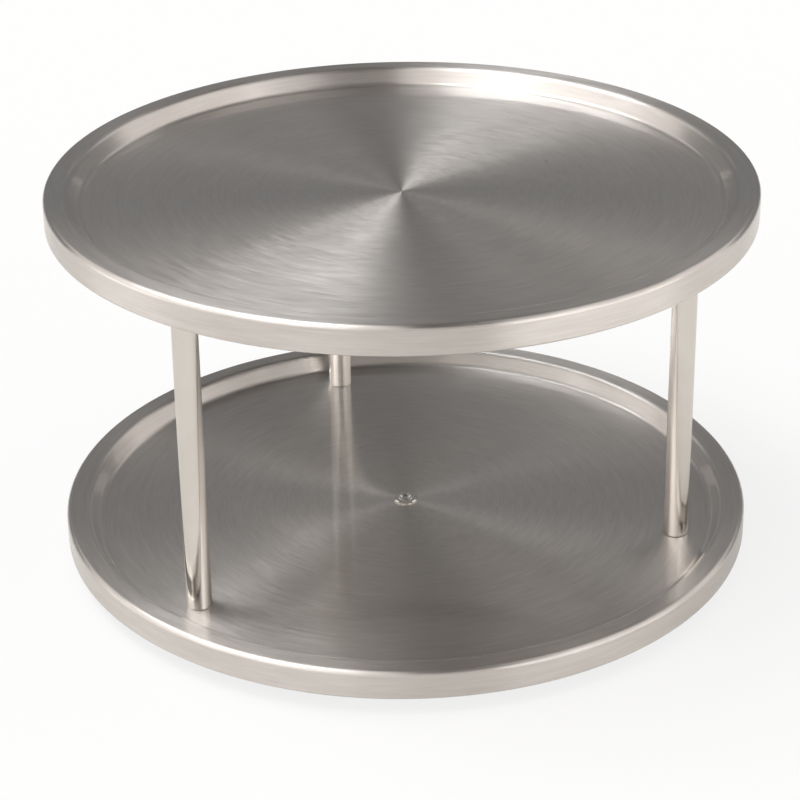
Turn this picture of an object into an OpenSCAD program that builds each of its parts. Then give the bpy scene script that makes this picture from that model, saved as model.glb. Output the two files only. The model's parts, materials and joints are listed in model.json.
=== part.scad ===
// Two-tier turntable in brushed stainless steel.
//
// Two equal spun trays stand one above the other on three plain round posts. The lower
// tray turns on a ring of balls that runs between two pressed races, and a hollow rivet
// at the centre keeps tray and base together. Rubber feet carry the base plate.
//
// Frame: origin on the table at the turning axis, +Z up, millimetres.

/* [Trays] */
// Outside diameter of both trays
tray_d = 266.7; // [230:0.1:340]
// Thickness of the tray sheet
sheet_t = 0.7; // [0.5:0.1:1]
// Width of the flat rim, from the skirt's face to the inner crease
rim_w = 8.5; // [6:0.5:14]
// Height of the rim above the floor
lip_h = 6.5; // [4:0.5:8]
// How far the inner wall leans in on its way down to the floor
wall_run = 4.1; // [2:0.1:6]
// Height of the outer skirt, from the rim's top to the hem
skirt_h = 11; // [9:0.5:14]
// Bend of the rim's outer corner
rim_bend = 1.5; // [1:0.1:4]
// Bend of the crease at the rim's inner edge
crease_bend = 2.5; // [0.7:0.1:3]
// Bend of the cove between wall and floor
cove_bend = 3; // [1:0.5:4]
// Width of the open hem that closes the skirt's edge
hem_gap = 0.6; // [0.4:0.1:1]
// Height of the hem's inner leg
hem_h = 2.6; // [2:0.1:4]
// Height from one tray to the next
tier_pitch = 132; // [90:1:170]

/* [Posts] */
// Outside diameter of the post tubes
post_d = 9.5; // [9:0.1:12]
// Wall of the post tubes
post_wall = 0.8; // [0.5:0.1:1]
// From the edge of the floor to a post's axis
post_inset = 12.75; // [10:0.25:25]
// Turn of the left post about the axis, 0 along +X
post_turn = -135; // [-180:1:180]
// Length of the threaded plug in each end of a post
plug_l = 12; // [10:0.5:20]
// Chamfer on the ends of posts and plugs
end_chamfer = 0.3; // [0.1:0.1:0.4]

/* [Post fasteners] */
// Thread diameter of the studs and screws that hold the posts
screw_d = 4; // [3:0.1:4.2]
// Thread engaged in a plug
screw_grip = 8; // [5:0.5:9]
// Diameter of the pan head
head_d = 8; // [7:0.1:9]
// Height of the pan head
head_h = 2.4; // [2:0.1:3]
// How far the pan head's edge leans in towards its crown
head_lean = 0.8; // [0.4:0.1:1.2]
// Width of the bars of the cross recess
recess_w = 0.9; // [0.6:0.1:1.2]
// Length of the bars of the cross recess
recess_l = 4.2; // [3:0.1:5]
// Depth of the cross recess
recess_depth = 1.3; // [0.8:0.1:1.6]
// Outside diameter of the spring washers
lock_d = 7.4; // [7:0.1:9]
// Thickness of the spring washers
lock_t = 0.8; // [0.5:0.1:1.2]
// Width of the slit in a spring washer
lock_slit = 0.9; // [0.5:0.1:1.5]
// Diameter of the weld collar of a stud
collar_d = 5.5; // [5:0.1:6]
// Height of the weld collar of a stud
collar_h = 0.6; // [0.3:0.1:1]

/* [Swivel] */
// Diameter of the bearing balls
ball_d = 6; // [5:0.1:7]
// Number of bearing balls
ball_count = 16; // [8:1:20]
// From the feet's circle in to the balls' circle
race_inset = 21; // [18:0.5:26]
// Thickness of the upper race
race_t = 0.8; // [0.6:0.1:1.2]
// Slope of the sides of both grooves
groove_slope = 35; // [25:1:45]
// Straight stretch of a groove's side
groove_side = 0.3; // [0.2:0.1:0.8]
// Bend at the shoulders of both grooves
shoulder_bend = 1; // [0.8:0.1:1.6]
// Width of the flat flange on each side of the upper race
race_flange = 3; // [2:0.5:5]
// Width of the ball cage
cage_w = 11; // [10:0.5:14]
// Thickness of the ball cage
cage_t = 2.4; // [2:0.1:2.8]
// Length of each window that lightens the cage
window_l = 7; // [5:0.5:8]
// Width of each window that lightens the cage
window_w = 4; // [3:0.5:5]

/* [Base] */
// Thickness of the base plate
base_t = 1; // [0.8:0.1:1.5]
// From the heads of the post screws in to the base plate's edge
base_gap = 9; // [4:0.5:14]
// Height of the base plate's turned-up edge
base_rim_h = 3.5; // [2.5:0.1:4.5]
// Bend at the foot of the turned-up edge
base_bend = 1.5; // [1:0.1:2]
// Diameter of the raised hub's flat
hub_d = 40; // [30:1:46]
// Width of the slope around the hub
hub_run = 8; // [7:0.5:12]
// Bends at both edges of the hub's slope
hub_bend = 3; // [1:0.5:4]
// From the base plate's edge in to the feet's circle
foot_inset = 14; // [12:0.5:20]
// Diameter of a foot's pad
foot_d = 14; // [10:0.5:16]
// Height of a foot's pad, under the base plate
foot_h = 3; // [2.5:0.1:5]
// Chamfer round a foot's pad
foot_chamfer = 0.5; // [0.2:0.1:1]
// Diameter of a foot's neck
neck_d = 5.8; // [4:0.1:6.5]
// Diameter of the barb that holds a foot in its hole
barb_d = 7.6; // [7:0.1:9]
// Height of the barb
barb_h = 1.6; // [1:0.1:2.5]

/* [Centre rivet] */
// Diameter of the rivet's shank
rivet_d = 5; // [4:0.1:6]
// Diameter of the rivet's head, on the lower floor
rivet_head_d = 9.3; // [8.6:0.1:12]
// Height of the rivet's head
rivet_head_h = 0.8; // [0.6:0.1:1.2]
// Diameter of the dimple in the head
dimple_d = 3.9; // [3:0.1:4.4]
// Depth of the dimple
dimple_depth = 0.6; // [0.3:0.05:0.65]
// Thickness of the raised ring round the dimple
ring_w = 0.9; // [0.6:0.1:1.2]
// Diameter of the flared tail
flare_d = 8.4; // [7.5:0.1:10]
// Height of the flared tail
flare_h = 0.9; // [0.6:0.1:1.2]
// Diameter of the hollow in the tail
hollow_d = 3.2; // [2:0.1:3.4]
// Depth of the hollow in the tail
hollow_l = 2.6; // [1.5:0.1:3]
// Diameter of the nylon thrust washer
thrust_d = 18; // [12:0.5:24]
// Thickness of the nylon thrust washer
thrust_t = 1.2; // [0.8:0.1:1.8]
// Diameter of the steel washer at the tail
tail_d = 14; // [11:0.5:18]
// Thickness of the steel washer at the tail
tail_t = 0.8; // [0.5:0.1:1.2]

/* [Hidden] */
// Clearances
run_play = 0.03;     // axial play of faces that turn on each other
bore_play = 0.08;    // radial play of the rivet in the base plate
ball_play = 0.02;    // between a ball and each groove
groove_play = 0.3;   // a groove's radius over a ball's
pocket_play = 0.15;  // a pocket's radius over a ball's
press_play = 0.02;   // radial, pressed parts
thread_play = 0.05;  // radial, thread in thread
washer_play = 0.1;   // radial, washers on a shank
hole_play = 0.25;    // radial, screws through the tray
foot_play = 0.1;     // radial, foot's neck in its hole
collar_play = 0.2;   // weld collar in the plug's counterbore

// Radii, from the trays inwards
tray_r = tray_d / 2;
floor_r = tray_r - rim_w - wall_run;
post_r = floor_r - post_inset;
base_r = post_r - head_d / 2 - base_gap;
foot_r = base_r - foot_inset;
race_r = foot_r - race_inset;
rivet_r = rivet_d / 2;
ball_r = ball_d / 2;

// Both grooves hold a ball at the bottom of one bend, between two sloping sides
function groove_bend(t) = ball_r + groove_play + t / 2;
function groove_depth(t) =
    (groove_bend(t) + shoulder_bend) * (1 - cos(groove_slope)) + groove_side * sin(groove_slope);
function groove_corner(t) = groove_depth(t) + groove_bend(t) * (1 / cos(groove_slope) - 1);
function groove_half(t) = groove_corner(t) / tan(groove_slope);

// Heights, from the table up
web_z = foot_h;
groove_z = web_z + base_t - groove_depth(base_t);
ball_z = groove_z + ball_play + ball_r;
crown_z = ball_z + ball_r + ball_play;
under_z = crown_z + race_t;
floor_z = under_z + sheet_t;
rim_z = floor_z + lip_h;
upper_floor_z = floor_z + tier_pitch;
upper_rim_z = rim_z + tier_pitch;
post_top_z = upper_floor_z - sheet_t;
hub_z = under_z - run_play - thrust_t - base_t;
tail_z = hub_z - run_play - tail_t;

// Patterns
post_count = 3;
foot_count = 4;
foot_turn = 45;
bend_steps = 8;
hem_share = 0.45;    // each of the hem's two bends, as a share of its width
ring_sink = 0.25;    // how much of the rivet's ring lies in its head
cut = 1;             // how far a cutting tool runs past a face
$fn = 96;

// ---- Bent sheet ------------------------------------------------------------------
// A section of bent sheet is a list of corners [radius, height, bend], all on the middle
// of the sheet. sheet_edge() walks along it, shifted to one side by s, and rounds every
// corner to its bend. Two such edges, half a thickness to each side, close the section.

function spot(c) = [c[0], c[1]];
function unit(v) = v / norm(v);
function left_of(v) = [-v[1], v[0]];
function turned(v, a) = [v[0] * cos(a) - v[1] * sin(a), v[0] * sin(a) + v[1] * cos(a)];
function along(a, b) = unit(spot(b) - spot(a));

function bend_points(a, b, c, s) =
    let (
        u = along(a, b),
        v = along(b, c),
        turn = atan2(u[0] * v[1] - u[1] * v[0], u * v),
        side = sign(turn),
        centre = spot(b) - u * b[2] * tan(abs(turn) / 2) + side * left_of(u) * b[2],
        arm = -side * left_of(u) * (b[2] - side * s)
    )
    [for (k = [0 : bend_steps]) centre + turned(arm, turn * k / bend_steps)];

function sheet_edge(p, s) =
    let (last = len(p) - 1)
    concat(
        [spot(p[0]) + s * left_of(along(p[0], p[1]))],
        [for (i = [1 : last - 1]) each bend_points(p[i - 1], p[i], p[i + 1], s)],
        [spot(p[last]) + s * left_of(along(p[last - 1], p[last]))]
    );

function reversed(list) = [for (i = [len(list) - 1 : -1 : 0]) list[i]];

module bent_sheet(corners, t) {
    rotate_extrude()
        polygon(concat(sheet_edge(corners, t / 2), reversed(sheet_edge(corners, -t / 2))));
}

// ---- Trays -----------------------------------------------------------------------
// Floor, cove, leaning wall, crease, flat rim, rounded corner, skirt and open hem,
// from the edge of the centre hole outwards.
function tray_corners(top_z, hole_r) =
    let (
        floor_mid = top_z - lip_h - sheet_t / 2,
        rim_mid = top_z - sheet_t / 2,
        skirt_mid = tray_r - sheet_t / 2,
        hem_mid = skirt_mid - sheet_t - hem_gap,
        hem_bend = hem_share * (sheet_t + hem_gap),
        foot_mid = top_z - skirt_h + sheet_t / 2
    )
    [
        [hole_r, floor_mid],
        [floor_r, floor_mid, cove_bend],
        [tray_r - rim_w, rim_mid, crease_bend],
        [skirt_mid, rim_mid, rim_bend],
        [skirt_mid, foot_mid, hem_bend],
        [hem_mid, foot_mid, hem_bend],
        [hem_mid, foot_mid + hem_h - sheet_t / 2]
    ];

module at_post(i) {
    rotate(post_turn + i * 360 / post_count)
        translate([post_r, 0, 0])
            children();
}

module at_posts() {
    for (i = [0 : post_count - 1])
        at_post(i)
            children();
}

module upper_tray() {
    color([0.80, 0.79, 0.76])
        bent_sheet(tray_corners(upper_rim_z, 0), sheet_t);
}

module lower_tray() {
    color([0.78, 0.77, 0.74])
        difference() {
            bent_sheet(tray_corners(rim_z, rivet_r + press_play), sheet_t);
            at_posts()
                translate([0, 0, under_z - cut])
                    cylinder(h = sheet_t + 2 * cut, r = screw_d / 2 + hole_play);
        }
}

// ---- Posts -----------------------------------------------------------------------
// A solid of revolution with a chamfer on both outer ends and a bore right through
module sleeve(h, r, bore_r) {
    difference() {
        rotate_extrude()
            polygon([
                [0, 0],
                [r - end_chamfer, 0],
                [r, end_chamfer],
                [r, h - end_chamfer],
                [r - end_chamfer, h],
                [0, h]
            ]);
        translate([0, 0, -cut])
            cylinder(h = h + 2 * cut, r = bore_r);
    }
}

module post(i) {
    color([0.82, 0.80, 0.77])
        at_post(i)
            translate([0, 0, floor_z])
                sleeve(post_top_z - floor_z, post_d / 2, post_d / 2 - post_wall);
}

module plug() {
    sleeve(plug_l, post_d / 2 - post_wall - press_play, screw_d / 2 + thread_play);
}

module bottom_plug(i) {
    color([0.62, 0.62, 0.60])
        at_post(i)
            translate([0, 0, floor_z])
                plug();
}

// The top plug is counterbored for the weld collar of its stud
module top_plug(i) {
    color([0.62, 0.62, 0.60])
        at_post(i)
            translate([0, 0, post_top_z - plug_l])
                difference() {
                    plug();
                    translate([0, 0, plug_l - collar_h - collar_play])
                        cylinder(h = collar_h + collar_play + cut, r = collar_d / 2 + collar_play);
                }
}

// ---- Post fasteners --------------------------------------------------------------
module tray_studs() {
    color([0.66, 0.66, 0.64])
        at_posts() {
            translate([0, 0, post_top_z - screw_grip])
                cylinder(h = screw_grip, r = screw_d / 2);
            translate([0, 0, post_top_z - collar_h])
                cylinder(h = collar_h, r = collar_d / 2);
        }
}

// Pan head down: its flat side bears on the spring washer
module pan_head() {
    edge_h = head_h / 2;
    crown_r = head_d / 2 - head_lean;
    rotate([180, 0, 0]) {
        cylinder(h = edge_h, r = head_d / 2);
        translate([0, 0, edge_h])
            cylinder(h = head_h - edge_h, r1 = head_d / 2, r2 = crown_r);
    }
}

module post_screws() {
    seat_z = under_z - lock_t;
    color([0.68, 0.68, 0.66])
        at_posts()
            difference() {
                union() {
                    translate([0, 0, seat_z])
                        pan_head();
                    translate([0, 0, seat_z - head_h / 2])
                        cylinder(h = head_h / 2 + lock_t + sheet_t + screw_grip, r = screw_d / 2);
                }
                for (a = [0, 90])
                    rotate(a)
                        translate([-recess_l / 2, -recess_w / 2, seat_z - head_h - cut])
                            cube([recess_l, recess_w, recess_depth + cut]);
            }
}

module lock_washers() {
    color([0.55, 0.55, 0.54])
        at_posts()
            translate([0, 0, under_z - lock_t])
                difference() {
                    cylinder(h = lock_t, r = lock_d / 2);
                    translate([0, 0, -cut])
                        cylinder(h = lock_t + 2 * cut, r = screw_d / 2 + washer_play);
                    translate([0, -lock_slit / 2, -cut])
                        cube([lock_d, lock_slit, lock_t + 2 * cut]);
                }
}

// ---- Swivel ----------------------------------------------------------------------
// The upper race is a pressed ring with its groove facing down, welded by its crown to
// the lower tray's floor.
module upper_race() {
    crown_mid = under_z - race_t / 2;
    flange_mid = crown_mid - groove_depth(race_t);
    peak_mid = flange_mid + groove_corner(race_t);
    half = groove_half(race_t);
    color([0.70, 0.70, 0.68])
        bent_sheet([
            [race_r - half - race_flange, flange_mid],
            [race_r - half, flange_mid, shoulder_bend],
            [race_r, peak_mid, groove_bend(race_t)],
            [race_r + half, flange_mid, shoulder_bend],
            [race_r + half + race_flange, flange_mid]
        ], race_t);
}

module at_balls(half_step = 0) {
    for (i = [0 : ball_count - 1])
        rotate((i + half_step) * 360 / ball_count)
            translate([race_r, 0, 0])
                children();
}

module bearing_balls() {
    color([0.75, 0.75, 0.76])
        at_balls()
            translate([0, 0, ball_z])
                sphere(r = ball_r);
}

// The balls snap into round pockets, so the cage hangs on them clear of both races.
// Windows between the pockets lighten it.
module ball_cage() {
    color([0.93, 0.92, 0.88])
        difference() {
            translate([0, 0, ball_z - cage_t / 2])
                cylinder(h = cage_t, r = race_r + cage_w / 2);
            translate([0, 0, ball_z - cage_t / 2 - cut])
                cylinder(h = cage_t + 2 * cut, r = race_r - cage_w / 2);
            at_balls()
                translate([0, 0, ball_z])
                    sphere(r = ball_r + pocket_play);
            at_balls(half_step = 0.5)
                translate([0, 0, ball_z - cage_t / 2 - cut])
                    window(cage_t + 2 * cut);
        }
}

// A slot with round ends that lies along the cage
module window(h) {
    run = window_l - window_w;
    translate([-window_w / 2, -run / 2, 0])
        cube([window_w, run, h]);
    for (s = [-1, 1])
        translate([0, s * run / 2, 0])
            cylinder(h = h, r = window_w / 2);
}

// ---- Base ------------------------------------------------------------------------
module at_foot(i) {
    rotate(foot_turn + i * 360 / foot_count)
        translate([foot_r, 0, 0])
            children();
}

// Raised hub, web with the lower groove, and a turned-up edge
module base_plate() {
    web_mid = web_z + base_t / 2;
    hub_mid = hub_z + base_t / 2;
    half = groove_half(base_t);
    edge_mid = base_r - base_t / 2;
    color([0.72, 0.72, 0.70])
        difference() {
            bent_sheet([
                [rivet_r + bore_play, hub_mid],
                [hub_d / 2, hub_mid, hub_bend],
                [hub_d / 2 + hub_run, web_mid, hub_bend],
                [race_r - half, web_mid, shoulder_bend],
                [race_r, web_mid - groove_corner(base_t), groove_bend(base_t)],
                [race_r + half, web_mid, shoulder_bend],
                [edge_mid, web_mid, base_bend],
                [edge_mid, web_z + base_rim_h]
            ], base_t);
            for (i = [0 : foot_count - 1])
                at_foot(i)
                    translate([0, 0, web_z - cut])
                        cylinder(h = base_t + 2 * cut, r = neck_d / 2 + foot_play);
        }
}

// A turned rubber foot: pad, neck through the plate and a barb that holds it there
module foot(i) {
    barb_z = web_z + base_t;
    color([0.10, 0.10, 0.11])
        at_foot(i)
            rotate_extrude()
                polygon([
                    [0, 0],
                    [foot_d / 2 - foot_chamfer, 0],
                    [foot_d / 2, foot_chamfer],
                    [foot_d / 2, foot_h],
                    [neck_d / 2, foot_h],
                    [neck_d / 2, barb_z],
                    [barb_d / 2, barb_z],
                    [neck_d / 2 - foot_chamfer, barb_z + barb_h],
                    [0, barb_z + barb_h]
                ]);
}

// ---- Centre rivet ----------------------------------------------------------------
// The head lies on the lower floor. The shank turns in the base plate, and the flared
// tail carries the steel washer under the hub.
module centre_rivet() {
    head_r = rivet_head_d / 2;
    edge = rivet_head_h / 2;
    ring_r = (dimple_d + ring_w) / 2;
    ring_z = floor_z + rivet_head_h - ring_sink * ring_w;
    flare_z = tail_z - flare_h;
    color([0.74, 0.73, 0.71])
        difference() {
            union() {
                translate([0, 0, floor_z])
                    cylinder(h = edge, r = head_r);
                translate([0, 0, floor_z + edge])
                    cylinder(h = rivet_head_h - edge, r1 = head_r, r2 = head_r - edge);
                translate([0, 0, ring_z])
                    rotate_extrude()
                        translate([ring_r, 0])
                            circle(r = ring_w / 2);
                translate([0, 0, flare_z])
                    cylinder(h = floor_z - flare_z + edge, r = rivet_r);
                translate([0, 0, flare_z])
                    cylinder(h = flare_h, r = flare_d / 2);
            }
            translate([0, 0, floor_z + rivet_head_h])
                dimple();
            translate([0, 0, flare_z - cut])
                cylinder(h = hollow_l + cut, r = hollow_d / 2);
        }
}

// The dimple is the cap of a ball, as wide and as deep as the dimple
module dimple() {
    cap_r = (dimple_depth * dimple_depth + dimple_d * dimple_d / 4) / (2 * dimple_depth);
    translate([0, 0, cap_r - dimple_depth])
        sphere(r = cap_r);
}

module washer(z, h, r) {
    difference() {
        translate([0, 0, z])
            cylinder(h = h, r = r);
        translate([0, 0, z - cut])
            cylinder(h = h + 2 * cut, r = rivet_r + washer_play);
    }
}

module thrust_washer() {
    color([0.95, 0.94, 0.90])
        washer(hub_z + base_t, thrust_t, thrust_d / 2);
}

module tail_washer() {
    color([0.60, 0.60, 0.59])
        washer(tail_z, tail_t, tail_d / 2);
}

upper_tray();
lower_tray();
post(0);  // post_left
post(1);  // post_right
post(2);  // post_rear
top_plug(0);  // top_plug_left
top_plug(1);  // top_plug_right
top_plug(2);  // top_plug_rear
bottom_plug(0);  // bottom_plug_left
bottom_plug(1);  // bottom_plug_right
bottom_plug(2);  // bottom_plug_rear
tray_studs();
post_screws();
lock_washers();
upper_race();
ball_cage();
bearing_balls();
centre_rivet();
thrust_washer();
tail_washer();
base_plate();
foot(0);  // foot_rear_right
foot(1);  // foot_rear_left
foot(2);  // foot_front_left
foot(3);  // foot_front_right
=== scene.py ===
# %% [markdown]
# # A two-tier turntable in brushed stainless steel
#
# The real object is two spun steel trays, one above the other, on three polished posts.
# The lower tray turns on a ring of balls over a pressed base plate with rubber feet.
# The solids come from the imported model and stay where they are. This script gives them
# their finish, and remakes the parts that a viewer sees most, the trays and the posts, as
# finely divided surfaces, because a satin sheen shows every facet.
#
# Everything is in metres, with +Z up along the turning axis and the viewer on the -Y side.

# %% Load the frame
import json
import math

import bpy
import numpy as np
from mathutils import Matrix, Vector


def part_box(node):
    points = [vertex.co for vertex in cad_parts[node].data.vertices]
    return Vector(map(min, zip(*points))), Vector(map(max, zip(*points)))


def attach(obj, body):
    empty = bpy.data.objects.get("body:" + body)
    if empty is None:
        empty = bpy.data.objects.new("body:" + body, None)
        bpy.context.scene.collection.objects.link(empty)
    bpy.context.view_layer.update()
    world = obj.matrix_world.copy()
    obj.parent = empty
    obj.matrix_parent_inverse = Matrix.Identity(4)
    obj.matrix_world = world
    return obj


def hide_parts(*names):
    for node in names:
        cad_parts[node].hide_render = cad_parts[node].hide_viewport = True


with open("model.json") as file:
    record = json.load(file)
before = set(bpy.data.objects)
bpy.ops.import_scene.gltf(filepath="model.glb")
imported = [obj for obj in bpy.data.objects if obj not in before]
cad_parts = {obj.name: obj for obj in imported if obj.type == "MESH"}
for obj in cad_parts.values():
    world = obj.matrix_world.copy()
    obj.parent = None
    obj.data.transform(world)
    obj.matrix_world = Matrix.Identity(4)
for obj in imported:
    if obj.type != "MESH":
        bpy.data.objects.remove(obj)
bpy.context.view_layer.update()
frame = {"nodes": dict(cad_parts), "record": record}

MM = 0.001

# %% [markdown]
# ## Camera
#
# The photograph was taken from a little above the front, with a long lens whose frame is
# shifted down. The camera stands on a circle round a point between the tiers, looks down
# a little less than that circle's own angle, and leans by less than a degree. The values
# were fitted to the outlines of the trays and posts, with the shift kept small, so that the
# object stays in the picture from every other side too.

# %% Camera
IMAGE = 800                              # pixels, both ways
FOCAL = 2315.6                           # focal length, in those pixels
PRINCIPAL = (402.7, 272.0)               # where the optical axis meets the image
SENSOR = 36.0                            # mm, Blender's default
AIM_Z = 81 * MM                          # height of the point that the camera circles
DISTANCE = 894.7 * MM
ELEVATION = math.radians(25.523)
PITCH = math.radians(23.865)
ROLL = math.radians(-0.701)
CLIP_START = 0.05                        # m, well short of the object


def camera_matrix():
    """Position on the circle, then axes: forward dips by the pitch, and the camera's
    right and up turn about it by the roll."""
    place = Vector((0, -DISTANCE * math.cos(ELEVATION), AIM_Z + DISTANCE * math.sin(ELEVATION)))
    forward = Vector((0, math.cos(PITCH), -math.sin(PITCH)))
    flat_right = Vector((1, 0, 0))
    flat_up = flat_right.cross(forward)
    right = flat_right * math.cos(ROLL) + flat_up * math.sin(ROLL)
    up = flat_up * math.cos(ROLL) - flat_right * math.sin(ROLL)
    turn = Matrix((right, up, -forward)).transposed().to_4x4()
    return Matrix.Translation(place) @ turn


camera_data = bpy.data.cameras.new("camera")
camera_data.sensor_width = SENSOR
camera_data.lens = FOCAL * SENSOR / IMAGE
camera_data.shift_x = 0.5 - PRINCIPAL[0] / IMAGE
camera_data.shift_y = PRINCIPAL[1] / IMAGE - 0.5
camera_data.clip_start = CLIP_START
camera = bpy.data.objects.new("camera", camera_data)
camera.matrix_world = camera_matrix()
bpy.context.scene.collection.objects.link(camera)
bpy.context.scene.camera = camera
print("lens %.1f mm, shift %.3f, %.3f" % (camera_data.lens, camera_data.shift_x, camera_data.shift_y))

# %% [markdown]
# ## A small way to write node trees
#
# Materials, groups and the world are all node trees. `node` adds one node and fills its
# inputs in the same line: a value is typed in, and a socket is linked. So a tree reads
# from top to bottom like a recipe.

# %% Node helper


def node(tree, kind, inputs=None, **settings):
    """Adds a node of that kind. inputs maps a socket's name or number to a value or to
    another node's output, and settings are the node's own properties."""
    made = tree.nodes.new(kind)
    for name, value in settings.items():
        setattr(made, name, value)
    for key, value in (inputs or {}).items():
        if isinstance(value, bpy.types.NodeSocket):
            tree.links.new(value, made.inputs[key])
        else:
            made.inputs[key].default_value = value
    return made


def math_node(tree, operation, *values):
    """One step of arithmetic, as the output of a Math node."""
    return node(tree, "ShaderNodeMath", dict(enumerate(values)), operation=operation).outputs[0]


def remap(tree, value, low, high, new_low, new_high):
    """Takes value from the range low..high to new_low..new_high, clamped."""
    return node(tree, "ShaderNodeMapRange",
                {0: value, 1: low, 2: high, 3: new_low, 4: new_high}).outputs[0]


def mix_colours(tree, factor, first, second):
    """A blend of two colours, by a factor from 0 to 1."""
    made = node(tree, "ShaderNodeMix", {0: factor, 6: first, 7: second}, data_type="RGBA")
    return made.outputs[2]


print("node helpers ready")

# %% [markdown]
# ## Studio
#
# Brushed and polished steel have almost no colour of their own: what one sees is the room.
# The photograph's trays show it like a map. A large softbox hangs over them to the left,
# with a straight edge almost overhead, and makes the two bright sectors. Low white boards
# left and right light the skirts. Between them the room is a warm grey. Grey cloth behind
# and black cloth in front, above and to the right make the dark sectors.
#
# The panels hang on a plan in steps of 15 degrees round and 5 degrees up. It was set
# after a fit to the photograph had shown which panels there are and roughly where.
#
# The whole room is written as a world: each panel is a window in the sky, with a soft
# edge, that covers what lies under it. For the camera alone the world is plain white,
# which gives the clean background without putting more light on the object.

# %% Sky windows
DEGREES = 180 / math.pi
EDGE_AROUND, EDGE_UP, EDGE_KEY = 5.0, 3.0, 0.04     # softness: degrees, degrees, share of the sky


def window(tree, value, low, high, soft):
    """1 where value lies from low to high, 0 outside, with smooth edges 2 * soft wide."""
    rise = node(tree, "ShaderNodeMapRange", {0: value, 1: low - soft, 2: low + soft, 3: 0, 4: 1},
                interpolation_type="SMOOTHSTEP").outputs[0]
    fall = node(tree, "ShaderNodeMapRange", {0: value, 1: high - soft, 2: high + soft, 3: 1, 4: 0},
                interpolation_type="SMOOTHSTEP").outputs[0]
    return math_node(tree, "MULTIPLY", rise, fall)


def panel(tree, azimuth, elevation, centre, half, low, high):
    """A window round the azimuth centre, half as wide to each side, from low to high.
    The difference of two angles is wrapped, so that a window may lie across the seam."""
    up = window(tree, elevation, low, high, EDGE_UP)
    apart = math_node(tree, "WRAP", math_node(tree, "SUBTRACT", azimuth, centre), 180, -180)
    return math_node(tree, "MULTIPLY", up, window(tree, apart, -half, half, EDGE_AROUND))


print("sky windows ready")

# %% World
WHITE = (1, 1, 1, 1)
ROOM = (0.95, 0.90, 0.86, 1)
BLACK = (0, 0, 0, 1)
GREY_CLOTH = (0.2, 0.2, 0.2, 1)
DIM_BOARD = (2, 1.95, 1.9, 1)
BOARD = (3.2, 3.1, 3, 1)
SOFTBOX = (5, 5, 5, 1)
# name: (azimuth from +X, half width), (lowest, highest), all in degrees, and what hangs there.
# Later panels cover earlier ones.
PANELS = {
    "cloth_low": ((90, 60), (-20, 25), GREY_CLOTH),
    "cloth_behind": ((90, 30), (25, 95), GREY_CLOTH),
    "cloth_right": ((60, 30), (45, 95), BLACK),
    "softbox_halo": ((150, 15), (45, 85), SOFTBOX),
    "low_board_left": ((180, 15), (-20, 5), BOARD),
    "cloth_front": ((255, 45), (-20, 5), BLACK),
    "low_board_right": ((330, 30), (-20, 5), BOARD),
    "cloth_above": ((300, 30), (35, 95), BLACK),
    "wall_left": ((225, 30), (15, 25), BOARD),
    "wall_right": ((315, 15), (15, 35), DIM_BOARD),
}
KEY_X, KEY_Y = (-0.5, -0.15), (-0.3, 0.3)           # the softbox, as seen straight up


def build_world():
    """The panels one over the other, the softbox on top, and white for camera rays."""
    world = bpy.data.worlds.new("studio")
    world.use_nodes = True
    tree = world.node_tree
    tree.nodes.clear()
    direction = node(tree, "ShaderNodeTexCoord").outputs["Generated"]
    x, y, z = node(tree, "ShaderNodeSeparateXYZ", {0: direction}).outputs
    azimuth = math_node(tree, "MULTIPLY", math_node(tree, "ARCTAN2", y, x), DEGREES)
    elevation = math_node(tree, "MULTIPLY", math_node(tree, "ARCSINE", z), DEGREES)
    room = node(tree, "ShaderNodeRGB").outputs[0]
    room.default_value = ROOM
    for (centre, half), (low, high), colour in PANELS.values():
        room = mix_colours(tree, panel(tree, azimuth, elevation, centre, half, low, high), room, colour)
    key = math_node(tree, "MULTIPLY", window(tree, x, *KEY_X, EDGE_KEY), window(tree, y, *KEY_Y, EDGE_KEY))
    above = math_node(tree, "GREATER_THAN", z, 0)
    room = mix_colours(tree, math_node(tree, "MULTIPLY", key, above), room, SOFTBOX)
    studio = node(tree, "ShaderNodeBackground", {"Color": room})
    white = node(tree, "ShaderNodeBackground", {"Color": WHITE})
    seen = node(tree, "ShaderNodeLightPath").outputs["Is Camera Ray"]
    mixed = node(tree, "ShaderNodeMixShader", {0: seen, 1: studio.outputs[0], 2: white.outputs[0]})
    node(tree, "ShaderNodeOutputWorld", {0: mixed.outputs[0]})
    return world


bpy.context.scene.world = build_world()
bpy.context.scene.view_settings.view_transform = "Standard"
print("world of %d panels and a softbox" % len(PANELS))

# %% Table
TABLE_RADIUS = 1.6
TABLE_SIDES = 128
TABLE_GAP = 0.02 * MM                    # how far under the feet, so that the faces don't meet
TABLE_SEEN = (0.93, 0.93, 0.93, 1)       # its colour for the camera
TABLE_REFLECTED = (0.80, 0.78, 0.75, 1)  # its colour in the steel
SHADE_SEEN, SHADE_REFLECTED = 0.2, 0.6   # how much of the object's shade shows in each


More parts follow.
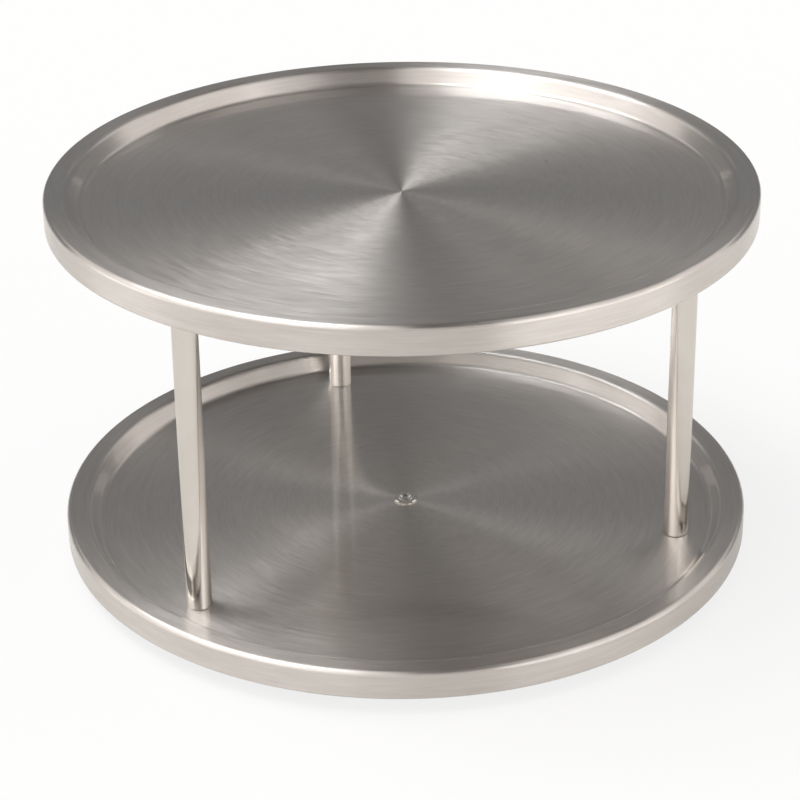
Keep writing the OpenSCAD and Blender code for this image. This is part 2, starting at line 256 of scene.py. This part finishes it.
def table_material():
    """A matt table with a share of plain glow, which keeps the shade on it soft. The camera
    sees it almost white. In reflections it is a warm pale grey. A camera under the table
    looks through it, so that the object's underside can be seen too."""
    material = bpy.data.materials.new("table_white")
    material.use_nodes = True
    tree = material.node_tree
    tree.nodes.clear()
    rays = node(tree, "ShaderNodeLightPath").outputs
    kinds = []
    for colour, glow, shade in ((TABLE_SEEN, WHITE, SHADE_SEEN),
                                (TABLE_REFLECTED, TABLE_REFLECTED, SHADE_REFLECTED)):
        matt = node(tree, "ShaderNodeBsdfDiffuse", {"Color": colour})
        plain = node(tree, "ShaderNodeEmission", {"Color": glow})
        kinds.append(node(tree, "ShaderNodeMixShader", {0: shade, 1: plain.outputs[0], 2: matt.outputs[0]}))
    bounce = node(tree, "ShaderNodeBsdfDiffuse", {"Color": TABLE_SEEN})
    seen = node(tree, "ShaderNodeMixShader",
                {0: rays["Is Camera Ray"], 1: bounce.outputs[0], 2: kinds[0].outputs[0]})
    mixed = node(tree, "ShaderNodeMixShader",
                 {0: rays["Is Glossy Ray"], 1: seen.outputs[0], 2: kinds[1].outputs[0]})
    behind = node(tree, "ShaderNodeNewGeometry").outputs["Backfacing"]
    below = math_node(tree, "MULTIPLY", rays["Is Camera Ray"], behind)
    clear = node(tree, "ShaderNodeBsdfTransparent")
    whole = node(tree, "ShaderNodeMixShader", {0: below, 1: mixed.outputs[0], 2: clear.outputs[0]})
    node(tree, "ShaderNodeOutputMaterial", {0: whole.outputs[0]})
    return material


def table():
    """A disc just under the feet: one ring of points on a circle, as a single face."""
    turn = np.linspace(0, 2 * np.pi, TABLE_SIDES, endpoint=False)
    ring = np.column_stack([TABLE_RADIUS * np.cos(turn), TABLE_RADIUS * np.sin(turn), 0 * turn - TABLE_GAP])
    mesh = bpy.data.meshes.new("table")
    mesh.from_pydata(ring.tolist(), [], [list(range(len(ring)))])
    mesh.materials.append(table_material())
    made = bpy.data.objects.new("table", mesh)
    bpy.context.scene.collection.objects.link(made)


table()
print("table radius %.2f m" % TABLE_RADIUS)

# %% [markdown]
# ## Brushing
#
# A spun tray is brushed while it turns, so its scratches are arcs of circles round the
# axis. Two things make that look. The shine itself stretches across the scratches, which
# the shader's anisotropy does. And single deeper scratches show as fine arcs: noise that
# changes fast with the radius and slowly with the angle. The angle goes in as a point on
# the unit circle, so the pattern has no seam.

# %% Groups for the metals
NOISE = (0.3, 0.7)                       # the range that a noise mostly keeps to


def new_group(name, inputs, outputs):
    """An empty node group. inputs are (name, value) numbers or ("Vector", None), and
    outputs are names of numbers."""
    group = bpy.data.node_groups.new(name, "ShaderNodeTree")
    for title, value in inputs:
        kind = "NodeSocketVector" if value is None else "NodeSocketFloat"
        socket = group.interface.new_socket(title, in_out="INPUT", socket_type=kind)
        if value is not None:
            socket.default_value = value
    for title in outputs:
        group.interface.new_socket(title, in_out="OUTPUT", socket_type="NodeSocketFloat")
    return group, group.nodes.new("NodeGroupInput").outputs, group.nodes.new("NodeGroupOutput").inputs


def ring_brushing():
    """Arcs round the Z axis. Each layer is noise at (cos a, sin a) * Arcs and
    (radius + height) * Rings: Lines is fine, Bands is coarse, and Scratches keeps only the
    peaks of a layer in between, from -1 for a dark scratch to 1 for a bright one."""
    group, given, out = new_group("ring_brushing", [("Vector", None), ("Rings", 2500.0), ("Arcs", 6.0)],
                                  ["Lines", "Bands", "Scratches"])
    parts = node(group, "ShaderNodeSeparateXYZ", {0: given["Vector"]}).outputs
    flat = node(group, "ShaderNodeCombineXYZ", {0: parts[0], 1: parts[1]}).outputs[0]
    radius = node(group, "ShaderNodeVectorMath", {0: flat}, operation="LENGTH").outputs["Value"]
    around = node(group, "ShaderNodeVectorMath", {0: flat}, operation="NORMALIZE").outputs[0]
    across = math_node(group, "MULTIPLY", math_node(group, "ADD", radius, parts[2]), given["Rings"])

    def layer(ring_share, arc_share, shift):
        """Noise on rings and arcs of these shares of the group's values, moved by shift."""
        arcs = math_node(group, "MULTIPLY", given["Arcs"], arc_share)
        spread = node(group, "ShaderNodeVectorMath", {0: around, "Scale": arcs}, operation="SCALE").outputs[0]
        rings = math_node(group, "ADD", math_node(group, "MULTIPLY", across, ring_share), shift)
        lift = node(group, "ShaderNodeCombineXYZ", {2: rings}).outputs[0]
        place = node(group, "ShaderNodeVectorMath", {0: spread, 1: lift}, operation="ADD").outputs[0]
        return node(group, "ShaderNodeTexNoise", {"Vector": place, "Scale": 1.0, "Detail": 2.0,
                                                  "Roughness": 0.6}).outputs["Fac"]

    group.links.new(layer(1.0, 1.0, 0.0), out["Lines"])
    group.links.new(layer(0.2, 0.8, 40.0), out["Bands"])
    peaks = layer(0.45, 1.6, 90.0)
    bright = remap(group, peaks, 0.54, 0.68, 0, 1)
    dark = remap(group, peaks, 0.46, 0.32, 0, 1)
    group.links.new(math_node(group, "SUBTRACT", bright, dark), out["Scratches"])
    return group


def handling():
    """Smears: broad soft patches where a cloth or a hand has been, from 0 to 1. Waves:
    the slow unevenness of thin sheet, as a height."""
    group, given, out = new_group("handling", [("Vector", None), ("Scale", 14.0)], ["Smears", "Waves"])
    patches = node(group, "ShaderNodeTexNoise", {"Vector": given["Vector"], "Scale": given["Scale"],
                                                 "Detail": 4.0, "Roughness": 0.55, "Distortion": 0.6})
    group.links.new(remap(group, patches.outputs["Fac"], 0.35, 0.7, 0, 1), out["Smears"])
    waves = node(group, "ShaderNodeTexNoise", {"Vector": given["Vector"], "Scale": 9.0, "Detail": 1.0})
    group.links.new(waves.outputs["Fac"], out["Waves"])
    return group


RING_BRUSHING = ring_brushing()
HANDLING = handling()


def use_group(tree, group, **values):
    """Places a group in a tree and returns its outputs."""
    made = node(tree, "ShaderNodeGroup", node_tree=group)
    for name, value in values.items():
        if isinstance(value, bpy.types.NodeSocket):
            tree.links.new(value, made.inputs[name])
        else:
            made.inputs[name].default_value = value
    return made.outputs


def new_material(name):
    """A material with an empty Principled shader. Returns it, its tree, the shader and
    the piece's own coordinates."""
    material = bpy.data.materials.new(name)
    material.use_nodes = True
    tree = material.node_tree
    tree.nodes.clear()
    shader = node(tree, "ShaderNodeBsdfPrincipled")
    node(tree, "ShaderNodeOutputMaterial", {0: shader.outputs[0]})
    place = node(tree, "ShaderNodeTexCoord").outputs["Object"]
    return material, tree, shader, place


def relief(tree, height, distance, normal=None):
    """A Bump node's normal, from a height between 0 and 1 and its depth in metres."""
    inputs = {"Height": height, "Distance": distance, "Strength": 1.0}
    if normal is not None:
        inputs["Normal"] = normal
    return node(tree, "ShaderNodeBump", inputs).outputs[0]


print("groups:", ", ".join(g.name for g in bpy.data.node_groups))

# %% [markdown]
# ## Brushed steel
#
# The Principled shader's anisotropy widens the shine along the tangent. A radial tangent
# runs round the axis, along the scratches, so a quarter turn puts the wide way across
# them. That gives the bright and dark sectors that meet in the middle of each floor.

# %% Brushed steel
ROUGHNESS = 0.30                         # of the brushed sheet, and what each mark adds to it
ROUGH_FINE, ROUGH_BANDS, ROUGH_SMEARS, ROUGH_SCRATCHES = 0.03, 0.06, 0.03, 0.03


def brushed_steel():
    """Stainless sheet, brushed on the wheel: slightly warm, with fine arcs and smears. The
    coat adds the faint plain reflection that the sheet's smooth ground keeps."""
    material, tree, shader, place = new_material("brushed_tray_steel")
    brushing = use_group(tree, RING_BRUSHING, Vector=place, Rings=2600.0, Arcs=5.0)
    marks = use_group(tree, HANDLING, Vector=place, Scale=16.0)
    scratches = brushing["Scratches"]
    bands = remap(tree, brushing["Bands"], *NOISE, 0.2, 0.8)
    shade = math_node(tree, "ADD", bands, math_node(tree, "MULTIPLY", scratches, 0.45))
    tone = mix_colours(tree, shade, (0.66, 0.628, 0.601, 1), (0.75, 0.717, 0.689, 1))
    fine = remap(tree, brushing["Lines"], *NOISE, -ROUGH_FINE, ROUGH_FINE)
    streaks = math_node(tree, "MULTIPLY", brushing["Bands"], ROUGH_BANDS)
    smears = math_node(tree, "MULTIPLY", marks["Smears"], ROUGH_SMEARS)
    dashes = math_node(tree, "MULTIPLY", scratches, ROUGH_SCRATCHES)
    roughness = math_node(tree, "ADD", math_node(tree, "ADD", ROUGHNESS, fine),
                          math_node(tree, "ADD", math_node(tree, "ADD", streaks, smears), dashes))
    wave = relief(tree, marks["Waves"], 0.25 * MM)
    scratch = relief(tree, brushing["Lines"], 0.004 * MM, normal=wave)
    tree.links.new(tone, shader.inputs["Base Color"])
    tree.links.new(roughness, shader.inputs["Roughness"])
    tree.links.new(scratch, shader.inputs["Normal"])
    shader.inputs["Metallic"].default_value = 1.0
    shader.inputs["Anisotropic"].default_value = 0.95
    shader.inputs["Anisotropic Rotation"].default_value = 0.25
    shader.inputs["Coat Weight"].default_value = 1.0
    shader.inputs["Coat Roughness"].default_value = 0.07
    shader.inputs["Coat IOR"].default_value = 1.6
    tangent = node(tree, "ShaderNodeTangent", direction_type="RADIAL", axis="Z")
    tree.links.new(tangent.outputs[0], shader.inputs["Tangent"])
    return material


def polished_nickel():
    """Posts and rivet: almost a mirror, with faint drawing marks along the tube."""
    material, tree, shader, place = new_material("polished_post_nickel")
    drawn = node(tree, "ShaderNodeMapping", {"Vector": place, "Scale": (900, 900, 8)}).outputs[0]
    lines = node(tree, "ShaderNodeTexNoise", {"Vector": drawn, "Scale": 1.0, "Detail": 2.0}).outputs["Fac"]
    marks = use_group(tree, HANDLING, Vector=place, Scale=60.0)
    tone = mix_colours(tree, marks["Smears"], (0.80, 0.77, 0.73, 1), (0.76, 0.73, 0.69, 1))
    roughness = math_node(tree, "ADD", remap(tree, lines, *NOISE, 0.10, 0.15),
                          math_node(tree, "MULTIPLY", marks["Smears"], 0.04))
    tree.links.new(tone, shader.inputs["Base Color"])
    tree.links.new(roughness, shader.inputs["Roughness"])
    tree.links.new(relief(tree, lines, 0.002 * MM), shader.inputs["Normal"])
    shader.inputs["Metallic"].default_value = 1.0
    return material


def satin_metal(name, light, dark, rough, grain):
    """Plated or pressed steel: a satin metal with a fine grain and slight stains."""
    material, tree, shader, place = new_material(name)
    marks = use_group(tree, HANDLING, Vector=place, Scale=45.0)
    speckle = node(tree, "ShaderNodeTexNoise",
                   {"Vector": place, "Scale": grain, "Detail": 3.0}).outputs["Fac"]
    tone = mix_colours(tree, marks["Smears"], (*light, 1), (*dark, 1))
    roughness = math_node(tree, "ADD", remap(tree, speckle, *NOISE, rough - 0.04, rough + 0.04),
                          math_node(tree, "MULTIPLY", marks["Smears"], 0.06))
    tree.links.new(tone, shader.inputs["Base Color"])
    tree.links.new(roughness, shader.inputs["Roughness"])
    tree.links.new(relief(tree, speckle, 0.01 * MM), shader.inputs["Normal"])
    shader.inputs["Metallic"].default_value = 1.0
    return material


def moulded(name, light, dark, rough, grain, depth):
    """Nylon or rubber: a moulded surface with a fine leathery grain."""
    material, tree, shader, place = new_material(name)
    marks = use_group(tree, HANDLING, Vector=place, Scale=70.0)
    pores = node(tree, "ShaderNodeTexNoise", {"Vector": place, "Scale": grain, "Detail": 3.0}).outputs["Fac"]
    tone = mix_colours(tree, marks["Smears"], (*light, 1), (*dark, 1))
    roughness = remap(tree, pores, *NOISE, rough - 0.05, rough + 0.05)
    tree.links.new(tone, shader.inputs["Base Color"])
    tree.links.new(roughness, shader.inputs["Roughness"])
    tree.links.new(relief(tree, pores, depth), shader.inputs["Normal"])
    return material


FINISHES = {
    "brushed_tray": brushed_steel(),
    "polished_post": polished_nickel(),
    # Dull unbrushed steel. Its dark tone is partly painted shade: on the trays' undersides it stands for the
    # shade between the tiers.
    "mill_finish": satin_metal("dull_steel_and_painted_shade", (0.37, 0.36, 0.345), (0.31, 0.30, 0.29), 0.45, 700),
    "pressed_steel": satin_metal("pressed_base_steel", (0.62, 0.61, 0.59), (0.52, 0.51, 0.49), 0.38, 900),
    "zinc_hardware": satin_metal("zinc_plated_hardware", (0.64, 0.64, 0.65), (0.50, 0.51, 0.54), 0.34, 1500),
    "bearing_steel": satin_metal("ball_steel", (0.72, 0.72, 0.74), (0.66, 0.66, 0.69), 0.10, 1200),
    "nylon": moulded("moulded_nylon", (0.86, 0.84, 0.78), (0.80, 0.77, 0.70), 0.45, 900, 0.02 * MM),
    "foot_rubber": moulded("foot_rubber_black", (0.035, 0.035, 0.037), (0.06, 0.058, 0.055),
                           0.72, 1400, 0.03 * MM),
}
print("finishes:", ", ".join(FINISHES))

# %% [markdown]
# ## Bent sheet
#
# A tray is one sheet, spun over a form. Its section is a short list of corners, and each
# corner has a bend. The same list, walked half a thickness to either side, gives the top
# and the underside, so the wall is equally thick everywhere, as it is in real sheet.
# Extra points close to each bend keep the flats flat where the shading is smooth.

# %% Sections
BEND_STEPS = 12
KEEP = 0.12 * MM                         # from a bend to the point that holds its flat


def unit(v):
    """v made one long."""
    return v / np.hypot(*v)


def left(v):
    """v turned a quarter turn to the left."""
    return np.array([-v[1], v[0]])


def bend(a, b, c, radius, side):
    """Points of the bend at corner b between a and c, shifted by side to the left. The
    bend is a circle's arc of that radius in mid-sheet, and of radius -+ side beside it."""
    u, v = unit(b - a), unit(c - b)
    turn = math.atan2(u[0] * v[1] - u[1] * v[0], u @ v)
    sign = math.copysign(1, turn)
    centre = b - u * radius * math.tan(abs(turn) / 2) + sign * left(u) * radius
    arm = -sign * left(u) * (radius - sign * side)
    angle = turn * np.linspace(0, 1, BEND_STEPS + 1)
    turned = np.column_stack([arm[0] * np.cos(angle) - arm[1] * np.sin(angle),
                              arm[0] * np.sin(angle) + arm[1] * np.cos(angle)])
    return np.vstack([centre + turned[0] - u * KEEP, centre + turned, centre + turned[-1] + v * KEEP])


def edge(corners, side):
    """One face of the sheet: its first end, every bend, and its last end."""
    points = np.array([corner[:2] for corner in corners])
    first = points[0] + side * left(unit(points[1] - points[0]))
    last = points[-1] + side * left(unit(points[-1] - points[-2]))
    bends = [bend(*points[i - 1:i + 2], corners[i][2], side) for i in range(1, len(corners) - 1)]
    return np.vstack([first, *bends, last])


def section(corners, thickness):
    """The closed outline of the sheet: one face out, and the other back."""
    return np.vstack([edge(corners, thickness / 2), edge(corners, -thickness / 2)[::-1]])


print("section helpers ready")

# %% [markdown]
# ## Turning a section into a surface
#
# A surface of revolution is a grid: one way runs along the outline, the other round the
# axis. Every point is (r cos a, r sin a, z), worked out for the whole grid at once. Where
# the outline starts and ends on the axis, one point closes the pole.

# %% Lathe
TURNS = 384
SHARP = math.radians(40)                 # faces that meet at more than this show an edge


def underside(points, faces):
    """1 for each face that reaches the second half of the outline's rings, which is the
    back of the sheet, and 0 for the others."""
    middle = len(points) // TURNS // 2 * TURNS
    return np.concatenate([face[:, 1] >= middle for face in faces]).astype(np.int32)


def add_piece(name, points, faces, finish, body, stands_for):
    """Makes the mesh from arrays, gives it its finish and puts it on its body."""
    mesh = bpy.data.meshes.new(name)
    mesh.vertices.add(len(points))
    mesh.vertices.foreach_set("co", points.astype(np.float32).ravel())
    corners = np.concatenate([f.ravel() for f in faces])
    sizes = np.concatenate([np.full(len(f), f.shape[1]) for f in faces])
    mesh.loops.add(len(corners))
    mesh.loops.foreach_set("vertex_index", corners)
    mesh.polygons.add(len(sizes))
    mesh.polygons.foreach_set("loop_start", np.concatenate([[0], np.cumsum(sizes)[:-1]]))
    mesh.update(calc_edges=True)
    mesh.validate()
    mesh.shade_smooth()
    mesh.set_sharp_from_angle(angle=SHARP)
    mesh.materials.append(FINISHES[finish])
    made = bpy.data.objects.new(name, mesh)
    bpy.context.scene.collection.objects.link(made)
    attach(made, body)
    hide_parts(stands_for)
    return made


def lathe(outline, turns=TURNS, closed=True, axis=(0.0, 0.0)):
    """Turns an outline of (radius, height) round a vertical line through axis. A closed
    outline gives a ring. An open one starts and ends on the axis, at a pole each."""
    rings = outline if closed else outline[1:-1]
    count = len(rings)
    angle = np.linspace(0, 2 * np.pi, turns, endpoint=False)
    radius, height = rings[:, :1], rings[:, 1:]
    points = np.stack([axis[0] + radius * np.cos(angle), axis[1] + radius * np.sin(angle),
                       height + 0 * angle], axis=2).reshape(-1, 3)
    row = np.arange(count if closed else count - 1)[:, None]
    column = np.arange(turns)[None, :]
    here, above = row * turns, (row + 1) % count * turns
    beside = (column + 1) % turns
    quads = np.stack([here + column, above + column, above + beside, here + beside], axis=2).reshape(-1, 4)
    faces = [quads]
    if not closed:
        start, end = len(points), len(points) + 1
        poles = [[*axis, outline[0, 1]], [*axis, outline[-1, 1]]]
        points = np.vstack([points, poles])
        last = (count - 1) * turns
        ring = np.arange(turns)
        after = (ring + 1) % turns
        faces.append(np.column_stack([np.full(turns, start), ring, after]))
        faces.append(np.column_stack([np.full(turns, end), last + after, last + ring]))
    return points, faces


print("lathe of %d steps" % TURNS)

# %% [markdown]
# ## The trays
#
# From the middle outwards: a flat floor, a cove, a wall that leans out, a crease, a flat
# rim, a rounded corner, a skirt, and a hem folded inwards so that no raw edge is left
# to cut a finger. Both trays are spun over the same form. The lower one has a hole for
# the rivet that it turns on. Its three screw holes lie hidden between the posts and the
# screw heads, so they are cut in the solid but not in this surface.

# %% Tray section
SHEET = 0.7 * MM
RIM = 8.5 * MM
LIP = 6.5 * MM
WALL_RUN = 4.1 * MM
HEM_GAP = 0.6 * MM
HEM_LEG = 2.6 * MM
HEM_SHARE = 0.45
COVE_BEND, CREASE_BEND, CORNER_BEND = 3.0 * MM, 2.5 * MM, 1.5 * MM
SHANK = 2.52 * MM                        # radius of the rivet's hole


def tray_corners(node_name, hole):
    """The tray's corners, from its floor's edge at radius hole out to the hem's leg."""
    low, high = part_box(node_name)
    radius, top, bottom = high.x, high.z, low.z
    mid = SHEET / 2
    floor = top - LIP - mid
    outer = radius - mid
    inner = outer - SHEET - HEM_GAP
    hem = HEM_SHARE * (SHEET + HEM_GAP)
    return [
        (hole, floor),
        (radius - RIM - WALL_RUN, floor, COVE_BEND),
        (radius - RIM, top - mid, CREASE_BEND),
        (outer, top - mid, CORNER_BEND),
        (outer, bottom + mid, hem),
        (inner, bottom + mid, hem),
        (inner, bottom + HEM_LEG),
    ]


def tray(name, hole):
    """One tray, brushed where it shows. Underneath is dull unbrushed steel whose dark tone is partly painted
    shade: the shade under each tray, which the lower floor reflects.
    """
    points, faces = lathe(section(tray_corners(name, hole), SHEET), closed=hole > 0)
    made = add_piece(name + "_sheet", points, faces, "brushed_tray", "platform", name)
    # The underside faces take the dark dull steel, partly as painted shade for the shade under the tray.
    made.data.materials.append(FINISHES["mill_finish"])
    made.data.polygons.foreach_set("material_index", underside(points, faces))
    print(name, "of", len(points), "points")


tray("upper_tray", 0.0)
tray("lower_tray", SHANK)

# %% [markdown]
# ## The posts
#
# Each post is a plain tube with a small chamfer at both ends. It is turned like the
# trays, about its own axis.

# %% Posts
POST_WALL = 0.8 * MM
CHAMFER = 0.3 * MM
POST_TURNS = 96


def post_outline(radius, bottom, top):
    """Out along the bottom, up the outside, and down the bore."""
    inner = radius - POST_WALL
    return np.array([
        (inner, bottom),
        (radius - CHAMFER, bottom),
        (radius, bottom + CHAMFER),
        (radius, bottom + 2 * CHAMFER),
        (radius, top - 2 * CHAMFER),
        (radius, top - CHAMFER),
        (radius - CHAMFER, top),
        (inner, top),
    ])[::-1]


for side in ("left", "right", "rear"):
    low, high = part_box("post_" + side)
    middle = (low + high) / 2
    outline = post_outline((high.x - low.x) / 2, low.z, high.z)
    tube_points, tube_faces = lathe(outline, turns=POST_TURNS, axis=(middle.x, middle.y))
    add_piece("post_tube_" + side, tube_points, tube_faces, "polished_post", "platform", "post_" + side)
    print("post %s at %.1f, %.1f mm" % (side, middle.x / MM, middle.y / MM))

# %% [markdown]
# ## The remaining parts
#
# The rivet, the screws, the washers, the races, the balls and the feet are small and
# their solids are right as they are. They keep their meshes and get their finish by the
# slot that the record gives each of them.

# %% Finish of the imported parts
for part in frame["record"]["subparts"]:
    solid = frame["nodes"][part["node"]]
    finish = FINISHES[part["material_slot"]]
    solid.data.materials.clear()
    solid.data.materials.append(finish)
print("finished %d packed parts" % len(frame["nodes"]))
